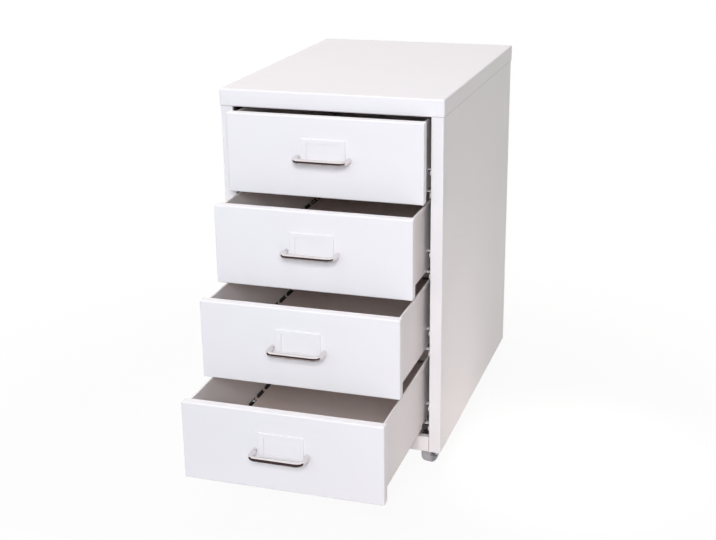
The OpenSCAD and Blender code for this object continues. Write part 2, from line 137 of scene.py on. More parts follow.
class EnamelSettings(bpy.types.PropertyGroup):
    coat: colour("Coat", "Colour of the powder coat", (0.93, 0.913, 0.897))
    warm: colour("Warm patches", "Colour that the coat drifts to", (0.925, 0.903, 0.88))
    # painted highlight: the brighter colour that the coat takes along its edges
    edge: colour("Edges", "Colour of the coat where it is thin over an edge", (0.94, 0.93, 0.92))
    tray: colour("Trays", "Colour of the creamier coat on the trays", (0.93, 0.89, 0.862))
    # painted shade: the warm darker tone of the trays' floors
    floor_shade: colour("Dust", "Colour of the film of dust on the trays' floors", (0.93, 0.81, 0.75))
    gloss: share("Roughness", "How far the coat scatters a reflection", 0.34)
    peel: length("Orange peel", "Size of the fine ripple in the coat", 1.3 * MM)
    fold: length("Fold", "Distance from the middle of a tray to its side folds", 117.6 * MM)
    lip: length("Lip", "Depth of the flange below a tray's floor", 6 * MM)
    slots_from: length("Slots start", "Distance from a tray's front to its first slot", 184.2 * MM)
    slot: length("Slot", "Length of a slot", 20 * MM)
    slot_width: length("Slot width", "Width of a slot across its fold", 3 * MM)
    slot_pitch: length("Slot pitch", "Distance from one slot to the next", 28 * MM)


class MetalSettings(bpy.types.PropertyGroup):
    chrome: colour("Chrome", "Colour of the chrome plate on the handles", (0.82, 0.785, 0.785))
    chrome_roughness: share("Chrome roughness", "How far the chrome scatters a reflection", 0.05)
    zinc: colour("Zinc", "Colour of the zinc plate on screws, nuts and axles", (0.62, 0.63, 0.65))
    fork: colour("Fork coat", "Colour of the enamel on the castor forks", (0.085, 0.083, 0.09))


class PlasticSettings(bpy.types.PropertyGroup):
    wheel: colour("Wheel", "Colour of the moulded wheels", (0.46, 0.455, 0.48))
    wheel_dust: colour("Dust", "Colour of the dust that a tread picks up", (0.56, 0.55, 0.56))
    glide: colour("Glide", "Colour of the nylon glides", (0.8, 0.8, 0.77))


class HandleSettings(bpy.types.PropertyGroup):
    rod: length("Rod", "Diameter of the rod", ROD)
    pitch: length(
        "Pitch", "Distance between the two feet", HANDLE_HIGH.x - HANDLE_LOW.x - ROD
    )
    reach: length(
        "Reach", "Distance from the front to the centre of the bar",
        HANDLE_HIGH.y - HANDLE_LOW.y - ROD / 2,
    )
    bend: length("Bend", "Radius of the bends at the centre of the rod", 8 * MM)


class WheelSettings(bpy.types.PropertyGroup):
    width: length("Width", "Width of a wheel", 13.6 * MM)
    bore: length("Bore", "Radius of the bore", 2.55 * MM)
    hub: length("Hub", "Radius of the boss round the bore", 4.7 * MM)
    dish: length("Dish", "Depth of the dish in each side", 2.0 * MM)
    rim: length("Rim", "Thickness of the rim", 3.2 * MM)
    shoulder: length("Shoulder", "Radius of the tread's shoulders", 2.5 * MM)
    ribs: bpy.props.IntProperty(
        name="Ribs", description="Number of ribs in each dish", default=6, min=3, max=12
    )


class ScrewSettings(bpy.types.PropertyGroup):
    thread: length("Thread", "Diameter of a carcass screw", 3.5 * MM)
    depth: length("Length", "Length of a carcass screw under its head", 8 * MM)
    handle_thread: length("Handle thread", "Diameter of a handle's machine screw", 4 * MM)
    handle_depth: length("Handle length", "Length of a handle's screw under its head", 11 * MM)


class StageSettings(bpy.types.PropertyGroup):
    key: power("Key", "Power of the light behind and above the camera", 58.0)
    fill: power("Fill", "Power of the large light behind the camera", 7.0)
    left: power("Left", "Power of the large light at the front left", 16.0)
    top: power("Top", "Power of the light overhead", 26.0)
    front_top: power("Front top", "Power of the light above the front", 5.0)
    wash: power("Wash", "Power of the narrow light on the floor at the right", 0.42)
    rear: power("Rear", "Power of the low light behind on the left", 30.0)
    sky: amount("Surround", "Strength of the even light from all round", 0.02)


SETTINGS = {
    "cabinet_enamel": EnamelSettings,
    "cabinet_metal": MetalSettings,
    "cabinet_plastic": PlasticSettings,
    "cabinet_handle": HandleSettings,
    "cabinet_wheel": WheelSettings,
    "cabinet_screw": ScrewSettings,
    "cabinet_stage": StageSettings,
}


# ---- Finishes ----


class Finish:
    """A material whose nodes are added one at a time. Patterns sit on Object coordinates."""

    def __init__(self, name):
        self.material = bpy.data.materials.new(name)
        self.material.use_nodes = True
        self.tree = self.material.node_tree
        self.tree.nodes.clear()
        self.shader = self.add("ShaderNodeBsdfPrincipled")
        self.surface = self.add("ShaderNodeOutputMaterial").inputs["Surface"]
        self.link(self.shader.outputs["BSDF"], self.surface)
        self.place = self.add("ShaderNodeTexCoord").outputs["Object"]

    def add(self, kind, **settings):
        """A node with its settings set."""
        node = self.tree.nodes.new(kind)
        for name, value in settings.items():
            setattr(node, name, value)
        return node

    def link(self, source, target):
        self.tree.links.new(source, target)

    def feed(self, socket, value):
        """Links a socket to another node's output, or sets it to a number or colour."""
        if isinstance(value, bpy.types.NodeSocket):
            self.link(value, socket)
        elif socket.type == "RGBA":
            socket.default_value = (*value, 1.0)
        else:
            socket.default_value = value

    def set(self, **values):
        """Sets the surface shader's own inputs, such as base_color."""
        for name, value in values.items():
            title = name.replace("_", " ").title().replace("Ior", "IOR")
            self.feed(self.shader.inputs[title], value)

    def math(self, operation, a, b=0.0, c=0.0):
        """The result of a math node on up to three values."""
        node = self.add("ShaderNodeMath", operation=operation)
        for socket, value in zip(node.inputs, (a, b, c)):
            self.feed(socket, value)
        return node.outputs["Value"]

    def times(self, first, *others):
        """The product of the values."""
        for other in others:
            first = self.math("MULTIPLY", first, other)
        return first

    def noise(self, size, detail=2.0, rough=0.5, stretch=None):
        """Noise whose features are about size metres across."""
        node = self.add("ShaderNodeTexNoise")
        place = self.place
        if stretch:
            place = self.add("ShaderNodeMapping")
            self.link(self.place, place.inputs["Vector"])
            place.inputs["Scale"].default_value = stretch
            place = place.outputs["Vector"]
        self.link(place, node.inputs["Vector"])
        node.inputs["Scale"].default_value = 1.0 / size
        node.inputs["Detail"].default_value = detail
        node.inputs["Roughness"].default_value = rough
        return node.outputs["Fac"]

    def spread(self, value, low, high, to_low=0.0, to_high=1.0):
        """Value's part from low to high, spread smoothly from to_low to to_high."""
        node = self.add("ShaderNodeMapRange", interpolation_type="SMOOTHSTEP")
        ends = {"From Min": low, "From Max": high, "To Min": to_low, "To Max": to_high}
        for name, given in {"Value": value, **ends}.items():
            self.feed(node.inputs[name], given)
        return node.outputs["Result"]

    def mix(self, factor, first, second):
        """From the first colour to the second. The node's colour sockets share their names with
        others, so they are taken by number."""
        node = self.add("ShaderNodeMix", data_type="RGBA")
        self.feed(node.inputs["Factor"], factor)
        self.feed(node.inputs[6], first)
        self.feed(node.inputs[7], second)
        return node.outputs[2]

    def bump(self, *layers):
        """Bumps from (height, metres deep) pairs, one over the other."""
        normal = None
        for height, depth in layers:
            node = self.add("ShaderNodeBump")
            node.inputs["Strength"].default_value = 1.0
            node.inputs["Distance"].default_value = depth
            self.feed(node.inputs["Height"], height)
            if normal:
                self.link(normal, node.inputs["Normal"])
            normal = node.outputs["Normal"]
        self.link(normal, self.shader.inputs["Normal"])

    def axes(self):
        """The X, Y and Z of the point that is painted."""
        node = self.add("ShaderNodeSeparateXYZ")
        self.link(self.place, node.inputs["Vector"])
        return [node.outputs[axis] for axis in "XYZ"]

    def near_edge(self, low, high, width):
        """1 at the edges of the box from low to high and 0 beyond width from them: the middle one
        of the three distances to its sides is the distance to the nearest edge."""
        x, y, z = [
            self.math("MINIMUM", self.math("SUBTRACT", axis, a), self.math("SUBTRACT", b, axis))
            for axis, a, b in zip(self.axes(), low, high)
        ]
        lesser, greater = self.math("MINIMUM", x, y), self.math("MAXIMUM", x, y)
        middle = self.math("MAXIMUM", lesser, self.math("MINIMUM", greater, z))
        return self.spread(middle, 0.0, width, 1.0, 0.0)


def enamel(name, low, high, paint):
    """A powder coat over sheet: fine orange peel, duller handled patches and glossier edges, in
    the colour that paint gives it. The drift is a broad cloud and the edge is 1 at the edges."""
    look = bpy.context.scene.cabinet_enamel
    finish = Finish(name)
    drift = finish.spread(finish.noise(110 * MM, 3.0), 0.35, 0.7)
    edge = finish.near_edge(low, high, 2.4 * MM)
    handled = finish.spread(finish.noise(35 * MM, 4.0, 0.6), 0.45, 0.75)
    rough = finish.math("MULTIPLY_ADD", handled, 0.07, look.gloss)
    rough = finish.math("MULTIPLY_ADD", edge, -0.05, rough)
    base = paint(finish, low, high, edge, drift)
    finish.set(base_color=base, roughness=rough, coat_weight=0.25, coat_roughness=0.16)
    waves = (finish.noise(140 * MM, 1.0), 0.6 * MM)
    finish.bump(waves, (finish.noise(look.peel, 1.0), 0.03 * MM))
    return finish.material


def white_paint(finish, low, high, edge, drift):
    """White, warmer in broad patches and lighter along the edges as a painted highlight, with a
    few rubbed specks.
    """
    look = bpy.context.scene.cabinet_enamel
    base = finish.mix(drift, look.coat, look.warm)
    # painted highlight: brighter along the edges
    base = finish.mix(finish.times(edge, 0.6), base, look.edge)
    speck = finish.spread(finish.noise(1.7 * MM, 4.0, 0.7), 0.69, 0.73)
    return finish.mix(finish.times(speck, edge, 0.5), base, RUBBED)


def cap_paint(finish, low, high, edge, drift):
    """White, with a faint line of painted shade along the lower edge of the skirt, where its lip
    throws a shadow.
    """
    base = white_paint(finish, low, high, edge, drift)
    # painted shade: a darker line along the skirt's lower edge
    hem_shade = finish.spread(finish.axes()[2], low.z + 0.7 * MM, low.z + 1.1 * MM, 0.6, 0.0)
    return finish.mix(hem_shade, base, HEM_SHADE)


def panel_paint(finish, low, high, edge, drift):
    """White outside. The inner face, from a few millimetres behind the front, is painted dark
    brown as the shade inside the carcass.
    """
    base = white_paint(finish, low, high, edge, drift)
    x, y, _ = finish.axes()
    outer = max(abs(low.x), abs(high.x))
    # painted shade: the inner face dark brown from a few millimetres behind the front, but not the
    # rear flange
    inside_shade = finish.times(
        finish.spread(finish.math("ABSOLUTE", x), outer - 0.7 * MM, outer - 0.3 * MM, 1.0, 0.0),
        finish.spread(y, high.y - 1.4 * MM, high.y - 1.0 * MM, 1.0, 0.0),
        finish.spread(y, low.y + 2 * MM, low.y + 5 * MM),
    )
    return finish.mix(inside_shade, base, finish.mix(drift, *INSIDE_SHADE))


def runner_paint(finish, low, high, edge, drift):
    """White at the lugs, and dark with painted shade behind them, where the runner runs back into
    the carcass.
    """
    base = white_paint(finish, low, high, edge, drift)
    # painted shade: dark behind the lugs, clouded
    runner_shade = finish.mix(finish.noise(20 * MM, 4.0, 0.6), *RUNNER_SHADE)
    behind = finish.spread(finish.axes()[1], low.y + 12 * MM, low.y + 20 * MM, 0.0, 0.95)
    return finish.mix(behind, base, runner_shade)


def tray_paint(finish, low, high, edge, drift):
    """Creamier than the fronts, with a warm painted shade on the floor and dark painted shade
    round the slots that the side folds are bent along."""
    look = bpy.context.scene.cabinet_enamel
    x, y, z = finish.axes()
    floor = low.z + look.lip
    # painted shade: a warm darker tone on the tray's floor
    shaded_floor = finish.spread(z, floor + 1.0 * MM, floor + 2.2 * MM, 1.0, 0.0)
    base = finish.mix(shaded_floor, look.tray, finish.mix(drift, look.floor_shade, FLOOR_SHADE_DRIFT))
    first = low.y + look.slots_from - SLOT_SHADE_SPREAD
    along = finish.math("FLOORED_MODULO", finish.math("SUBTRACT", y, first), look.slot_pitch)
    aside = finish.math("SUBTRACT", finish.math("ABSOLUTE", x), look.fold)
    # painted shade: dark round the slots, where the void under them shows
    slots_shaded = finish.times(
        finish.math("LESS_THAN", along, look.slot + 2 * SLOT_SHADE_SPREAD),
        finish.math("GREATER_THAN", y, first),
        finish.math("LESS_THAN", finish.math("ABSOLUTE", aside), look.slot_width + SLOT_SHADE_SPREAD),
        finish.math("LESS_THAN", z, floor + look.slot_width + SLOT_SHADE_RISE + SLOT_SHADE_SPREAD),
        0.97,
    )
    return finish.mix(slots_shaded, base, SLOT_SHADE)


def chrome(name):
    """Bright plate with faint polishing lines along the rod and a few dull finger marks."""
    look = bpy.context.scene.cabinet_metal
    finish = Finish(name)
    smear = finish.spread(finish.noise(12 * MM, 4.0, 0.6), 0.45, 0.7)
    lines = finish.noise(0.6 * MM, 3.0, 0.6, stretch=(0.08, 1.0, 1.0))
    rough = finish.math("MULTIPLY_ADD", smear, 0.06, look.chrome_roughness)
    rough = finish.math("MULTIPLY_ADD", lines, 0.03, rough)
    base = finish.mix(smear, look.chrome, FINGER_MARK)
    finish.set(base_color=base, roughness=rough, metallic=1.0)
    finish.bump((lines, 0.004 * MM), (finish.noise(20 * MM, 1.0), 0.01 * MM))
    return finish.material


def zinc(name):
    """Bright zinc plate with a soft mottle and duller hollows."""
    look = bpy.context.scene.cabinet_metal
    finish = Finish(name)
    mottle = finish.spread(finish.noise(1.6 * MM, 4.0, 0.65), 0.35, 0.7)
    rough = finish.math("MULTIPLY_ADD", mottle, 0.18, 0.28)
    base = finish.mix(mottle, look.zinc, DULL_ZINC)
    finish.set(base_color=base, roughness=rough, metallic=0.95)
    finish.bump((finish.noise(0.5 * MM, 3.0), 0.02 * MM))
    return finish.material


def fork_enamel(name, low, high):
    """Dark grey enamel, rubbed paler along its pressed edges."""
    look = bpy.context.scene.cabinet_metal
    finish = Finish(name)
    cloud = finish.noise(6 * MM, 4.0, 0.6)
    edge = finish.near_edge(low, high, 1.8 * MM)
    rub = finish.times(edge, finish.spread(finish.noise(1.1 * MM, 4.0, 0.7), 0.5, 0.62), 0.6)
    base = finish.mix(finish.spread(cloud, 0.3, 0.7), look.fork, FORK_CLOUD)
    rough = finish.math("MULTIPLY_ADD", cloud, 0.2, 0.3)
    finish.set(base_color=finish.mix(rub, base, FORK_RUB), roughness=rough)
    finish.bump((finish.noise(0.9 * MM, 2.0), 0.04 * MM))
    return finish.material


def wheel_nylon(name):
    """Moulded grey nylon, scuffed and dusty on the tread, where the scuff attribute is 1."""
    look = bpy.context.scene.cabinet_plastic
    finish = Finish(name)
    scuff = finish.add("ShaderNodeAttribute", attribute_name="scuff").outputs["Fac"]
    cloud = finish.noise(2.2 * MM, 4.0, 0.65)
    worn = finish.times(scuff, finish.spread(cloud, 0.3, 0.65))
    base = finish.mix(finish.spread(finish.noise(9 * MM), 0.3, 0.7), look.wheel, WHEEL_CLOUD)
    rough = finish.math("MULTIPLY_ADD", worn, 0.25, 0.42)
    finish.set(base_color=finish.mix(worn, base, look.wheel_dust), roughness=rough)
    finish.set(subsurface_weight=0.05, subsurface_scale=1.0 * MM)
    finish.bump((cloud, 0.05 * MM), (finish.noise(0.4 * MM), 0.02 * MM))
    return finish.material


def glide_nylon(name):
    """Natural nylon, waxy and slightly cloudy."""
    look = bpy.context.scene.cabinet_plastic
    finish = Finish(name)
    cloud = finish.spread(finish.noise(4 * MM, 3.0), 0.3, 0.7)
    rough = finish.math("MULTIPLY_ADD", cloud, 0.12, 0.36)
    finish.set(base_color=finish.mix(cloud, look.glide, GLIDE_CLOUD), roughness=rough)
    finish.set(subsurface_weight=0.12, subsurface_scale=2.0 * MM)
    finish.bump((finish.noise(0.7 * MM), 0.03 * MM))
    return finish.material


def coat(node, material):
    """Gives a CAD node's slots a finish."""
    for material_slot in frame["nodes"][node].material_slots:
        material_slot.material = material


# ---- Mesh helpers ----


def new_object(name, data):
    """An object in the scene that holds the mesh, light or camera."""
    made = bpy.data.objects.new(name, data)
    bpy.context.scene.collection.objects.link(made)
    return made


def smooth(mesh, degrees=35.0):
    """Makes the faces smooth and the edges past the angle sharp."""
    mesh.polygons.foreach_set("use_smooth", [True] * len(mesh.polygons))
    mesh.set_sharp_from_angle(angle=math.radians(degrees))


def spun(name, rows, around):
    """A closed skin round the Z axis from rows of (radius, height), each a number or a function
    of the turn. A row whose radius is 0 becomes one point."""
    made = bmesh.new()
    rings = []
    for radius, height in rows:
        ring = []
        for step in range(around):
            turn = math.tau * step / around
            out = radius(turn) if callable(radius) else radius
            up = height(turn) if callable(height) else height
            ring.append(made.verts.new((out * math.cos(turn), out * math.sin(turn), up)))
        rings.append(ring)
    for one, other in zip(rings, rings[1:]):
        for step in range(around):
            after = (step + 1) % around
            made.faces.new((one[step], one[after], other[after], other[step]))
    bmesh.ops.remove_doubles(made, verts=made.verts, dist=0.0001 * MM)
    bmesh.ops.recalc_face_normals(made, faces=made.faces)
    mesh = bpy.data.meshes.new(name)
    made.to_mesh(mesh)
    made.free()
    smooth(mesh)
    return mesh


# ---- Geometry Nodes helpers ----


class Tree:
    """A Geometry Nodes tree with named sizes that grows from one mesh to another."""

    def __init__(self, name, **sizes):
        self.tree = bpy.data.node_groups.new(name, "GeometryNodeTree")
        sockets = self.tree.interface
        sockets.new_socket("Geometry", in_out="INPUT", socket_type="NodeSocketGeometry")
        self.inputs = {}
        for title, kind in sizes.items():
            socket = sockets.new_socket(title, in_out="INPUT", socket_type=kind)
            self.inputs[title] = socket.identifier
        sockets.new_socket("Geometry", in_out="OUTPUT", socket_type="NodeSocketGeometry")
        self.start = self.tree.nodes.new("NodeGroupInput").outputs
        self.end = self.tree.nodes.new("NodeGroupOutput").inputs

    def add(self, kind, inputs=None, **settings):
        """A node with its inputs linked to outputs or set to values; returns its outputs."""
        node = self.tree.nodes.new(kind)
        for name, value in settings.items():
            setattr(node, name, value)
        for name, value in (inputs or {}).items():
            if isinstance(value, bpy.types.NodeSocket):
                self.tree.links.new(value, node.inputs[name])
            else:
                node.inputs[name].default_value = value
        return node.outputs

    def finish(self, geometry, material):
        """Ends the tree with real geometry in one material."""
        real = self.add("GeometryNodeRealizeInstances", {"Geometry": geometry})["Geometry"]
        painted = self.add("GeometryNodeSetMaterial", {"Geometry": real, "Material": material})
        self.tree.links.new(painted["Geometry"], self.end["Geometry"])

    def grow(self, piece, **values):
        """Runs the tree on a piece and keeps the result as its plain mesh."""
        modifier = piece.modifiers.new("grow", "NODES")
        modifier.node_group = self.tree
        for title, value in values.items():
            modifier[self.inputs[title]] = value
        bpy.context.view_layer.update()
        grown = piece.evaluated_get(bpy.context.evaluated_depsgraph_get())
        mesh = bpy.data.meshes.new_from_object(grown)
        piece.modifiers.clear()
        piece.data = mesh
        return mesh


def rod_tree(material):
    """A rod swept along a path of unit points, which are spread to the handle's pitch and reach
    and rounded at its corners."""
    bend_steps, sides = 14, 40
    tree = Tree(
        "swept rod", Place="NodeSocketVector", Pitch="NodeSocketFloat",
        Reach="NodeSocketFloat", Bend="NodeSocketFloat", Rod="NodeSocketFloat",
    )
    add, start = tree.add, tree.start
    spread = add("ShaderNodeCombineXYZ", {"X": start["Pitch"], "Y": start["Reach"]})["Vector"]
    where = add("GeometryNodeInputPosition")["Position"]
    wide = add("ShaderNodeVectorMath", {0: where, 1: spread}, operation="MULTIPLY")["Vector"]
    there = add("ShaderNodeVectorMath", {0: wide, 1: start["Place"]}, operation="ADD")["Vector"]
    path = add("GeometryNodeSetPosition", {"Geometry": start["Geometry"], "Position": there})
    curve = add("GeometryNodeMeshToCurve", {"Mesh": path["Geometry"]})["Curve"]
    bends = {"Curve": curve, "Count": bend_steps, "Radius": start["Bend"]}
    bent = add("GeometryNodeFilletCurve", bends, mode="POLY")["Curve"]
    radius = add("ShaderNodeMath", {0: start["Rod"], 1: 0.5}, operation="MULTIPLY")["Value"]
    ring = add("GeometryNodeCurvePrimitiveCircle", {"Resolution": sides, "Radius": radius})
    sweep = {"Curve": bent, "Profile Curve": ring["Curve"], "Fill Caps": True}
    tree.finish(add("GeometryNodeCurveToMesh", sweep)["Mesh"], material)
    return tree


def scatter_tree(name, material):
    """A screw on each point of a mesh, pointing along the point's axis attribute and turned
    round it by chance."""
    tree = Tree(name, Screw="NodeSocketObject")
    add, start = tree.add, tree.start
    screw = add("GeometryNodeObjectInfo", {"Object": start["Screw"]})["Geometry"]
    axis = add("GeometryNodeInputNamedAttribute", {"Name": "axis"}, data_type="FLOAT_VECTOR")
    upright = add("FunctionNodeAlignRotationToVector", {"Vector": axis["Attribute"]}, axis="Z")
    turn = add("FunctionNodeRandomValue", {2: 0.0, 3: math.tau, "Seed": 7}, data_type="FLOAT")
    twist = add("FunctionNodeAxisAngleToRotation", {"Axis": (0, 0, 1), "Angle": turn["Value"]})
    turned = add(
        "FunctionNodeRotateRotation",
        {"Rotation": upright["Rotation"], "Rotate By": twist["Rotation"]}, rotation_space="LOCAL",
    )
    placed = add(
        "GeometryNodeInstanceOnPoints",
        {"Points": start["Geometry"], "Instance": screw, "Rotation": turned["Rotation"]},
    )
    tree.finish(placed["Instances"], material)
    return tree


# ---- Pieces ----


class CABINET_OT_sheet(bpy.types.Operator):
    """Coats the carcass, the runners, the drawer fronts and the trays"""

    bl_idname = "cabinet.sheet"
    bl_label = "Coat the sheet metal"

    def execute(self, context):
        carcass = {
            "cap": cap_paint, "side_left": panel_paint, "side_right": panel_paint,
            "back_panel": white_paint, "base_panel": white_paint,
        }
        drawer = {
            "drawer_front": white_paint, "drawer_tray": tray_paint,
            "runner_left": runner_paint, "runner_right": runner_paint,
        }
        paints = list(carcass.items())
        for k in DRAWERS:
            paints += [(f"{part}_{k}", paint) for part, paint in drawer.items()]
        for node, paint in paints:
            coat(node, enamel(f"{node}_coat", *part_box(node), paint))
        return {"FINISHED"}


class CABINET_OT_small_parts(bpy.types.Operator):
    """Finishes the glides and the castors' forks, stems, axles and nuts"""

    bl_idname = "cabinet.small_parts"
    bl_label = "Finish the small parts"

    def execute(self, context):
        plate, nylon = zinc("zinc_plate"), glide_nylon("glide_nylon")
        coat("castor_nuts", plate)
        for k in DRAWERS:
            coat(f"glides_{k}", nylon)
        for k in CORNERS:
            coat(f"castor_stem_{k}", plate)
            coat(f"castor_axle_{k}", plate)
            fork = f"castor_fork_{k}"
            coat(fork, fork_enamel(f"{fork}_coat", *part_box(fork)))
        return {"FINISHED"}


class CABINET_OT_handles(bpy.types.Operator):
    """Sweeps the four rod handles"""

    bl_idname = "cabinet.handles"
    bl_label = "Make the handles"

    def execute(self, context):
        sizes = context.scene.cabinet_handle
        tree = rod_tree(chrome("chrome_plate"))
        points = [(-0.5, 0, 0), (-0.5, -1, 0), (0.5, -1, 0), (0.5, 0, 0)]
        for k in DRAWERS:
            low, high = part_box(f"handle_{k}")
            path = bpy.data.meshes.new(f"rod_handle_{k}")
            path.from_pydata(points, [(0, 1), (1, 2), (2, 3)], [])
            handle = new_object(f"rod_handle_{k}", path)
            mesh = tree.grow(
                handle, Place=((low.x + high.x) / 2, high.y, (low.z + high.z) / 2),
                Pitch=sizes.pitch, Reach=sizes.reach, Bend=sizes.bend, Rod=sizes.rod,
            )
            smooth(mesh, 50.0)
            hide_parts(f"handle_{k}")
            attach(handle, f"drawer_{k}")
        return {"FINISHED"}


class CABINET_OT_wheels(bpy.types.Operator):
    """Turns the four moulded castor wheels"""

    bl_idname = "cabinet.wheels"
    bl_label = "Make the castor wheels"

    def execute(self, context):
        sizes = context.scene.cabinet_wheel
        nylon = wheel_nylon("wheel_nylon")
        for k in CORNERS:
            pivot = joint(f"wheel_{k}_spin")
            turn = Vector((0, 0, 1)).rotation_difference(Vector(pivot["axis"]))
            mesh = self.skin(sizes, pivot["pos_m"][2])  # it stands on the floor
            mesh.transform(Matrix.Translation(pivot["pos_m"]) @ turn.to_matrix().to_4x4())
            wheel = new_object(f"moulded_wheel_{k}", mesh)
            wheel.data.materials.append(nylon)
            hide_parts(f"castor_wheel_{k}")
            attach(wheel, f"wheel_{k}")
        return {"FINISHED"}

    def skin(self, sizes, radius):
        """A wheel's skin: bore, hub, ribbed dish, rim, shoulders and a tread with two fine
        grooves, the same on both sides."""
        half, bore, hub, dish = sizes.width / 2, sizes.bore, sizes.hub, sizes.dish
        inner, soft = radius - sizes.rim, sizes.shoulder
        ease, hub_ease = 0.3 * MM, 0.25 * MM  # the small chamfers
        foot, rise = 0.7 * MM, 0.2 * MM  # width and height of the dish's sloping foot
        rib_half, rib_slope, rib_sunk = 0.16, 0.06, 0.5 * MM  # two angles and a depth
        groove_half, groove_deep = 0.25 * MM, 0.2 * MM
        shoulder_steps, around = 6, 96

        def ribbed(depth):
            """The dish's height at a turn, raised near each rib."""
            def height(turn):
                off = abs((turn * sizes.ribs / math.tau + 0.5) % 1.0 - 0.5) * math.tau / sizes.ribs
                lift = min(1.0, max(0.0, (rib_half - off) / rib_slope))
                return half - depth + lift * (depth - rib_sunk)
            return height

        side = [(bore, half - ease), (bore + ease, half)]
        side += [(hub - hub_ease, half), (hub, half - hub_ease)]
        side += [(hub + ease, ribbed(dish - rise)), (hub + foot, ribbed(dish))]
        side += [(hub + (inner - hub) * part, ribbed(dish)) for part in (0.35, 0.65)]
        side += [(inner - foot, ribbed(dish)), (inner - ease, ribbed(dish - rise))]
        side += [(inner, half - ease), (inner + ease, half)]
        for step in range(shoulder_steps + 1):
            turn = math.pi / 2 * step / shoulder_steps
            out, up = soft * math.sin(turn), soft * math.cos(turn)
            side.append((radius - soft + out, half - soft + up))
        groove = (half - soft) * 0.72
        side += [(radius, groove + groove_half), (radius - groove_deep, groove)]
        side += [(radius, groove - groove_half)]
        below = [
            (out, (lambda turn, up=up: -up(turn)) if callable(up) else -up)
            for out, up in reversed(side)
        ]
        mesh = spun("moulded_wheel", side + below + [side[0]], around)
        scuff_from, scuff_fade = 1.4 * MM, 1.2 * MM  # from how far below the tread, and how softly
        scuff = mesh.attributes.new("scuff", "FLOAT", "POINT")
        for vertex in mesh.vertices:
            out = math.hypot(vertex.co.x, vertex.co.y)
            near = (out - radius + scuff_from) / scuff_fade
            scuff.data[vertex.index].value = max(0.0, min(1.0, near))
        return mesh


def screw_skin(name, thread, depth, rise):
    """A pan-head screw along +Z from its seat at the origin, with a helical thread and a cross
    recess. Its head is twice as wide as its thread."""
    head, neck, pitch = 2 * thread, 0.3 * MM, thread * 0.28
    core, crest = 0.4, 0.1  # radius of the core and height of the thread, as parts of its diameter
    sides, rows_a_turn = 18, 6
    rows = [(head * out, -rise * up) for out, up in PAN_HEAD] + [(thread * 0.42, 0.0)]
    for step in range(int((depth - thread * 0.3) / pitch * rows_a_turn)):
        up = neck + step * pitch / rows_a_turn

        def ridge(turn, up=up):
            """The thread's radius at a turn, which climbs one pitch a turn."""
            wave = abs(((up / pitch - turn / math.tau) % 1.0) * 2 - 1)
            return thread * (core + crest * wave)
        rows.append((ridge, up))
    rows += [(thread * 0.34, depth - thread * 0.12), (thread * 0.22, depth), (0.0, depth)]
    screw = new_object(name, spun(name, rows, sides))
    recess = new_object(f"{name}_recess", cross(f"{name}_recess", head, rise))
    cut = screw.modifiers.new("recess", "BOOLEAN")
    cut.operation, cut.solver, cut.object, cut.use_self = "DIFFERENCE", "EXACT", recess, True
    bpy.context.view_layer.update()
    grown = screw.evaluated_get(bpy.context.evaluated_depsgraph_get())
    mesh = bpy.data.meshes.new_from_object(grown)
    screw.modifiers.clear()
    screw.data = mesh
    smooth(mesh, 30.0)
    bpy.data.objects.remove(recess)
    return screw


def cross(name, head, rise):
    """Two crossed tapering blades, which cut the recess in a head."""
    made = bmesh.new()
    long, thick, deep = head * 0.58, head * 0.13, rise * 1.4
    shape = Matrix.Diagonal((long * DIAGONAL, thick * DIAGONAL, deep, 1.0))
    square = Matrix.Rotation(math.pi / 4, 4, "Z")
    for turn in (0.0, math.pi / 2):
        blade = bmesh.ops.create_cone(
            made, cap_ends=True, segments=4, radius1=0.5, radius2=0.28, depth=1.0
        )["verts"]
        place = Matrix.Translation((0, 0, -rise)) @ Matrix.Rotation(turn, 4, "Z")
        bmesh.ops.transform(made, verts=blade, matrix=place @ shape @ square)
    bmesh.ops.recalc_face_normals(made, faces=made.faces)
    mesh = bpy.data.meshes.new(name)
    made.to_mesh(mesh)
    made.free()
    return mesh


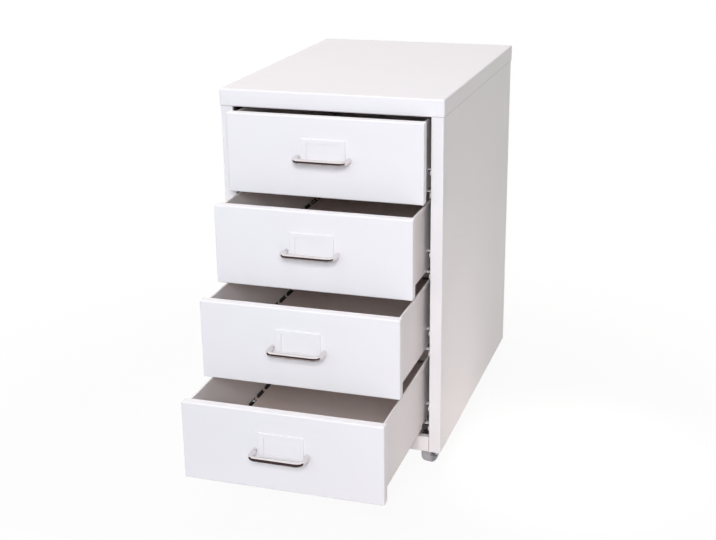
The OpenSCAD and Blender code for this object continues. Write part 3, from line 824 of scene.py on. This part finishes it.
class CABINET_OT_screws(bpy.types.Operator):
    """Sets a cross-recessed screw at each screw's place"""

    bl_idname = "cabinet.screws"
    bl_label = "Set the screws"

    def execute(self, context):
        sizes = context.scene.cabinet_screw
        tree = scatter_tree("set screws", zinc("screw_plate"))
        carcass = screw_skin("carcass_screw", sizes.thread, sizes.depth, CARCASS_HEAD)
        machine = screw_skin(
            "machine_screw", sizes.handle_thread, sizes.handle_depth, MACHINE_HEAD
        )
        back, cap, base = "back_screws", "cap_screws", "base_screws"
        places = []
        for node, axis in ((back, FORWARD), (cap, FORWARD), (base, UPWARD)):
            places += self.seats(node, axis, CARCASS_HEAD)
        self.set_screws(tree, carcass, "carcass_screws", places, "cabinet", back, cap, base)
        for k in DRAWERS:
            node = f"handle_screws_{k}"
            places = self.seats(node, FORWARD, MACHINE_HEAD)
            self.set_screws(tree, machine, f"handle_fixings_{k}", places, f"drawer_{k}", node)
        for template in (carcass, machine):
            bpy.data.objects.remove(template)
        return {"FINISHED"}

    def seats(self, node, axis, rise):
        """Where the heads of a node's screws sit, each with the screw's axis: the middles of the
        separate clusters of its points, at the seat."""
        axis = Vector(axis)
        widest = 12 * MM  # points closer than this belong to one screw
        clusters = []
        for vertex in frame["nodes"][node].data.vertices:
            flat = vertex.co - axis * vertex.co.dot(axis)
            for cluster in clusters:
                if (cluster[0] - flat).length < widest:
                    cluster.append(flat)
                    break
            else:
                clusters.append([flat])
        low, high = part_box(node)
        along = min(low.dot(axis), high.dot(axis)) + rise
        return [(sum(c, Vector()) / len(c) + axis * along, axis) for c in clusters]

    def set_screws(self, tree, screw, name, places, body, *nodes):
        """Sets a screw at each place, in one piece that rides on the body."""
        mesh = bpy.data.meshes.new(name)
        mesh.from_pydata([spot for spot, axis in places], [], [])
        away = mesh.attributes.new("axis", "FLOAT_VECTOR", "POINT")
        for point, (spot, axis) in zip(away.data, places):
            point.vector = axis
        piece = new_object(name, mesh)
        tree.grow(piece, Screw=screw)
        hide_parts(*nodes)
        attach(piece, body)


# ---- Stage ----


def aimed_light(name, place, target, size, watts, tint, spread=180.0):
    """A square area light of side size at place, which faces target and whose light is held
    within the spread in degrees."""
    data = bpy.data.lights.new(name, "AREA")
    data.shape, data.size, data.spread = "SQUARE", size, math.radians(spread)
    data.energy, data.color = watts, tint
    lamp = new_object(name, data)
    lamp.location = place
    lamp.rotation_mode = "QUATERNION"
    lamp.rotation_quaternion = (Vector(target) - Vector(place)).to_track_quat("-Z", "Y")
    return lamp


class CABINET_OT_stage(bpy.types.Operator):
    """Builds the floor, the lights, the surround and the camera"""

    bl_idname = "cabinet.stage"
    bl_label = "Build the stage"

    def execute(self, context):
        rig = context.scene.cabinet_stage
        self.camera(context.scene)
        self.floor()
        self.surround(context.scene, rig.sky)
        self.cards()
        middle, upper, low = (0, 0, 0.25), (0, 0, 0.4), (0, 0.1, 0.24)
        for name, watts, place, target, size, tint in (
            ("key", rig.key, (0.72, -2.7, 1.6), middle, 0.9, (0.915, 0.93, 1.0)),
            ("fill", rig.fill, (0.4, -2.9, 1.35), middle, 1.8, (0.96, 0.97, 1.0)),
            ("left", rig.left, (-1.2, -2.8, 1.2), middle, 1.8, (0.68, 0.82, 1.0)),
            ("overhead", rig.top, (-0.45, 0.2, 2.4), upper, 1.6, (1.0, 0.92, 0.95)),
            ("front overhead", rig.front_top, (0, -1.3, 2.4), middle, 1.4, (0.9, 0.92, 1.0)),
            ("rear", rig.rear, (-1.5, 2.6, 0.24), low, 0.4, (1.0, 0.97, 0.96)),
        ):
            lamp = aimed_light(name, place, target, size, watts, tint)
            lamp.visible_glossy = False  # the plate shows the white surround in their place
        spot, down = (0.3, 0, 0.9), (0.3, 0.001, 0)  # beside the right panel, down on the floor
        aimed_light("wash", spot, down, 0.15, rig.wash, (1.0, 0.9, 0.87), spread=24.0)
        return {"FINISHED"}

    def camera(self, scene):
        """The camera, turned by its yaw, pitch and roll."""
        data = bpy.data.cameras.new("camera")
        data.sensor_width, data.lens = 36.0, 63.19
        data.clip_start, data.clip_end = 0.05, 50.0
        eye = new_object("camera", data)
        stand = Matrix.Translation((0.47976, -1.488716, 0.780224))
        yaw, pitch, roll = 0.310, -0.334, -0.012
        level = math.cos(pitch)
        ahead = Vector((-math.sin(yaw) * level, math.cos(yaw) * level, math.sin(pitch)))
        right = Vector((math.cos(yaw), math.sin(yaw), 0))
        up = right.cross(ahead)
        across = right * math.cos(roll) + up * math.sin(roll)
        above = up * math.cos(roll) - right * math.sin(roll)
        turned = Matrix((across, above, -ahead)).transposed().to_4x4()
        eye.matrix_world = stand @ turned
        scene.camera = eye

    def floor(self):
        """A round floor, seen as plain white but for a soft shadow close round the cabinet."""
        mesh = bpy.data.meshes.new("floor")
        made = bmesh.new()
        bmesh.ops.create_circle(made, cap_ends=True, segments=96, radius=6.0)
        made.to_mesh(mesh)
        made.free()
        ground = new_object("floor", mesh)
        finish = Finish("floor_paper")
        paper = finish.mix(finish.noise(4 * MM, 3.0), *FLOOR_PAPER)
        finish.set(base_color=paper, roughness=0.9, specular_ior_level=0.1)
        glow = finish.add("ShaderNodeEmission")
        glow.inputs["Strength"].default_value = 1.0
        x, y, _ = finish.axes()
        away = finish.math("SQRT", finish.math("MULTIPLY_ADD", x, x, finish.times(y, y)))
        plain = finish.times(self.seen(finish.tree), finish.spread(away, 0.35, 0.8, 0.93, 1.0))
        blend = finish.add("ShaderNodeMixShader")
        finish.link(plain, blend.inputs[0])
        finish.link(finish.shader.outputs["BSDF"], blend.inputs[1])
        finish.link(glow.outputs["Emission"], blend.inputs[2])
        finish.link(blend.outputs["Shader"], finish.surface)
        mesh.materials.append(finish.material)

    def cards(self):
        """Two cards in front of the cabinet that the camera doesn't see. The flag lies just above
        the floor and is folded up on three sides. Only reflections show it, as the dark line in
        the handles' plate. The felt under it keeps the floor from throwing too much of the light
        back up at the lower fronts."""
        wide, front, back, foot, top = 2.5, -2.0, 0.1, 4 * MM, 1.55
        rim = [(-wide, back), (-wide, front), (wide, front), (wide, back)]
        corners = [(x, y, z) for z in (foot, top) for x, y in rim]
        corners += [(-wide, -0.2, foot), (wide, -0.2, foot)]
        faces = [(0, 1, 5, 4), (1, 2, 6, 5), (2, 3, 7, 6), (1, 2, 9, 8)]
        self.card("flag", corners, faces, FLAG, "glossy")
        rim = [(-1.6, -0.36), (-1.6, -2.3), (0.2, -2.3), (0.2, -0.36)]
        self.card("felt", [(x, y, 3 * MM) for x, y in rim], [(0, 1, 2, 3)], FELT, "diffuse")

    def card(self, name, corners, faces, tint, shown):
        """A card that only the shown kind of ray meets."""
        mesh = bpy.data.meshes.new(name)
        mesh.from_pydata(corners, [], faces)
        card = new_object(name, mesh)
        for kind in ("camera", "diffuse", "glossy", "transmission", "volume_scatter", "shadow"):
            setattr(card, f"visible_{kind}", kind == shown)
        finish = Finish(f"{name}_cloth")
        nap = finish.mix(finish.noise(10 * MM, 3.0), tint, [1.25 * part for part in tint])
        finish.set(base_color=nap, roughness=0.95, specular_ior_level=0.0)
        mesh.materials.append(finish.material)

    def seen(self, tree):
        """1 for rays that show the background itself: the camera's, reflections and what glass
        lets through."""
        path = tree.nodes.new("ShaderNodeLightPath")
        total = path.outputs["Is Camera Ray"]
        for name in ("Is Glossy Ray", "Is Transmission Ray"):
            adder = tree.nodes.new("ShaderNodeMath")
            adder.operation, adder.use_clamp = "ADD", True
            tree.links.new(total, adder.inputs[0])
            tree.links.new(path.outputs[name], adder.inputs[1])
            total = adder.outputs[0]
        return total

    def surround(self, scene, strength):
        """Even light from all round, which is seen as plain white."""
        world = bpy.data.worlds.new("surround")
        world.use_nodes = True
        tree = world.node_tree
        tree.nodes.clear()
        output = tree.nodes.new("ShaderNodeOutputWorld")
        blend = tree.nodes.new("ShaderNodeMixShader")
        tree.links.new(self.seen(tree), blend.inputs[0])
        for number, (tint, level) in enumerate(((SKY, strength), (WHITE, 1.0)), start=1):
            even = tree.nodes.new("ShaderNodeBackground")
            even.inputs["Color"].default_value = (*tint, 1.0)
            even.inputs["Strength"].default_value = level
            tree.links.new(even.outputs[0], blend.inputs[number])
        tree.links.new(blend.outputs[0], output.inputs["Surface"])
        scene.world = world
        scene.view_settings.view_transform = "Standard"


class CABINET_PT_panel(bpy.types.Panel):
    """Lists the cabinet's pieces"""

    bl_idname = "CABINET_PT_panel"
    bl_label = "Drawer cabinet"
    bl_space_type = "VIEW_3D"
    bl_region_type = "UI"
    bl_category = "Cabinet"

    def draw(self, context):
        for operator in OPERATORS:
            self.layout.operator(operator.bl_idname)


OPERATORS = (
    CABINET_OT_stage, CABINET_OT_sheet, CABINET_OT_small_parts,
    CABINET_OT_handles, CABINET_OT_wheels, CABINET_OT_screws,
)


def register():
    """Adds the settings, the operators and the panel."""
    for group in SETTINGS.values():
        bpy.utils.register_class(group)
    for name, group in SETTINGS.items():
        setattr(bpy.types.Scene, name, bpy.props.PointerProperty(type=group))
    for operator in OPERATORS:
        bpy.utils.register_class(operator)
    bpy.utils.register_class(CABINET_PT_panel)


def unregister():
    """Takes them away again, in the other order."""
    bpy.utils.unregister_class(CABINET_PT_panel)
    for operator in reversed(OPERATORS):
        bpy.utils.unregister_class(operator)
    for name, group in reversed(SETTINGS.items()):
        delattr(bpy.types.Scene, name)
        bpy.utils.unregister_class(group)


def main():
    """Builds everything in order."""
    register()
    for operator in OPERATORS:
        section, name = operator.bl_idname.split(".")
        getattr(getattr(bpy.ops, section), name)()


if __name__ == "__main__":
    main()
